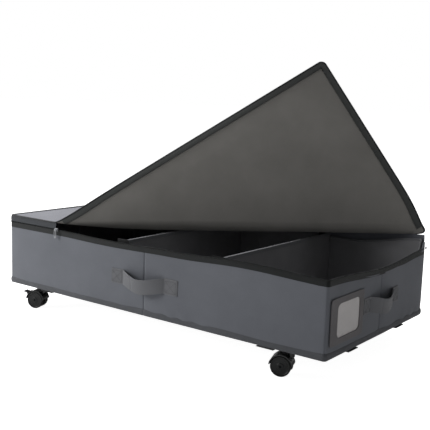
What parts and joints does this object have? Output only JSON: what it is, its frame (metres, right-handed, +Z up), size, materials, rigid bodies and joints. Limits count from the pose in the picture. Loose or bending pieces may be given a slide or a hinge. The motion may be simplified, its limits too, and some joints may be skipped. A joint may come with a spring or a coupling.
{
  "type": "under bed box",
  "caption": "Long, low soft-sided storage box on swivel casters, with dividers, webbing handles, a label pocket and a zipped lid whose free corner folds back.",
  "frame": {"origin": "on the floor, at the middle of the footprint of the whole object, handles included", "axes": "+X along the length, towards the end with the label pocket; -Y towards the front with the single long-side handle; +Z up"},
  "size_m": [1.044, 0.524, 0.699],
  "materials": {
    "shell_fabric": "matte woven polyester with a light coating",
    "wall_board": "plain hardboard",
    "lining": "matte non-woven",
    "floor_board": "fabric-covered board",
    "frame_steel": "satin grey",
    "screw_steel": "zinc plated",
    "black_plastic": "glossy moulded nylon",
    "wheel_plastic": "satin moulded",
    "pedal_plastic": "glossy moulded nylon",
    "black_webbing": "coarse webbing",
    "binding": "folded woven tape",
    "zip_tape": "fine herringbone tape",
    "zip_coil": "nylon coil",
    "zip_metal": "satin grey enamel",
    "lid_fabric": "matte woven polyester",
    "piping": "corded edge tape",
    "webbing": "ribbed polyester webbing",
    "label_border": "woven patch",
    "label_film": "clear film",
    "label_card": "blank card",
    "hook_tape": "hook-and-loop tape"
  },
  "bodies": {
    "box": {"front_panel": "shell_fabric", "back_panel": "shell_fabric", "left_panel": "shell_fabric", "right_panel": "shell_fabric", "bottom_panel": "shell_fabric", "front_boards": "wall_board", "back_boards": "wall_board", "left_boards": "wall_board", "right_boards": "wall_board", "wall_lining": "lining", "floor_board": "floor_board", "frame_long_tubes": "frame_steel", "frame_end_tubes": "frame_steel", "frame_cross_tubes": "frame_steel", "caster_blocks": "black_plastic", "caster_plates": "frame_steel", "plate_screws": "screw_steel", "under_straps": "black_webbing", "bottom_band": "binding", "zip_tape_lower": "zip_tape", "zip_tape_lid": "zip_tape", "zip_coil_closed": "zip_coil", "zip_coil_lower": "zip_coil", "zip_stops": "zip_metal", "lid_panel": "lid_fabric", "lid_piping": "piping", "front_handle": "webbing", "right_handle": "webbing", "left_handle": "webbing", "handle_patches": "webbing", "label_frame": "label_border", "label_window": "label_film", "label_card": "label_card"},
    "flap": {"lid_flap": "lid_fabric", "flap_piping": "piping", "flap_tape": "zip_tape", "flap_coil": "zip_coil"},
    "slider": {"zip_slider": "zip_metal"},
    "pull": {"pull_tab": "zip_metal"},
    "divider_left": {"divider_left_panel": "shell_fabric", "divider_left_binding": "binding", "divider_left_tabs": "hook_tape"},
    "divider_right": {"divider_right_panel": "shell_fabric", "divider_right_binding": "binding", "divider_right_tabs": "hook_tape"},
    "caster_fl": {"caster_fl_hood": "black_plastic", "caster_fl_axle": "screw_steel"},
    "caster_fl_wheelset": {"caster_fl_wheels": "wheel_plastic"},
    "caster_fl_brake": {"caster_fl_pedal": "pedal_plastic"},
    "caster_fr": {"caster_fr_hood": "black_plastic", "caster_fr_axle": "screw_steel"},
    "caster_fr_wheelset": {"caster_fr_wheels": "wheel_plastic"},
    "caster_bl": {"caster_bl_hood": "black_plastic", "caster_bl_axle": "screw_steel"},
    "caster_bl_wheelset": {"caster_bl_wheels": "wheel_plastic"},
    "caster_br": {"caster_br_hood": "black_plastic", "caster_br_axle": "screw_steel"},
    "caster_br_wheelset": {"caster_br_wheels": "wheel_plastic"},
    "caster_br_brake": {"caster_br_pedal": "pedal_plastic"}
  },
  "joints": [
    {"name": "flap_fold", "type": "hinge", "parent": "box", "child": "flap", "pos_m": [-0.315, -0.239, 0.252], "axis": [-0.8517, -0.5225, -0.0397], "range_deg": [-100, 38]},
    {"name": "zip_slide", "type": "slide", "parent": "box", "child": "slider", "axis": [-1, 0, 0], "range_m": [0, 0.16]},
    {"name": "pull_swing", "type": "hinge", "parent": "slider", "child": "pull", "pos_m": [-0.309, -0.2462, 0.236], "axis": [-1, 0, 0], "range_deg": [0, 150]},
    {"name": "divider_left_slide", "type": "slide", "parent": "box", "child": "divider_left", "axis": [1, 0, 0], "range_m": [-0.2, 0.1]},
    {"name": "divider_right_slide", "type": "slide", "parent": "box", "child": "divider_right", "axis": [1, 0, 0], "range_m": [-0.12, 0.2]},
    {"name": "caster_fl_swivel", "type": "hinge", "parent": "box", "child": "caster_fl", "pos_m": [-0.4, -0.205, 0.052], "axis": [0, 0, 1], "continuous": true},
    {"name": "caster_fl_roll", "type": "hinge", "parent": "caster_fl", "child": "caster_fl_wheelset", "pos_m": [-0.41879, -0.21184, 0.023], "axis": [-0.342, 0.9397, 0], "continuous": true},
    {"name": "caster_fl_brake_press", "type": "hinge", "parent": "caster_fl", "child": "caster_fl_brake", "pos_m": [-0.44181, -0.22022, 0.04015], "axis": [0.342, -0.9397, 0], "range_deg": [0, 25]},
    {"name": "caster_fr_swivel", "type": "hinge", "parent": "box", "child": "caster_fr", "pos_m": [0.4, -0.205, 0.052], "axis": [0, 0, 1], "continuous": true},
    {"name": "caster_fr_roll", "type": "hinge", "parent": "caster_fr", "child": "caster_fr_wheelset", "pos_m": [0.38121, -0.21184, 0.023], "axis": [-0.342, 0.9397, 0], "continuous": true},
    {"name": "caster_bl_swivel", "type": "hinge", "parent": "box", "child": "caster_bl", "pos_m": [-0.4, 0.227, 0.052], "axis": [0, 0, 1], "continuous": true},
    {"name": "caster_bl_roll", "type": "hinge", "parent": "caster_bl", "child": "caster_bl_wheelset", "pos_m": [-0.41879, 0.22016, 0.023], "axis": [-0.342, 0.9397, 0], "continuous": true},
    {"name": "caster_br_swivel", "type": "hinge", "parent": "box", "child": "caster_br", "pos_m": [0.4, 0.227, 0.052], "axis": [0, 0, 1], "continuous": true},
    {"name": "caster_br_roll", "type": "hinge", "parent": "caster_br", "child": "caster_br_wheelset", "pos_m": [0.38121, 0.22016, 0.023], "axis": [-0.342, 0.9397, 0], "continuous": true},
    {"name": "caster_br_brake_press", "type": "hinge", "parent": "caster_br", "child": "caster_br_brake", "pos_m": [0.35819, 0.21178, 0.04015], "axis": [0.342, -0.9397, 0], "range_deg": [0, 25]}
  ]
}
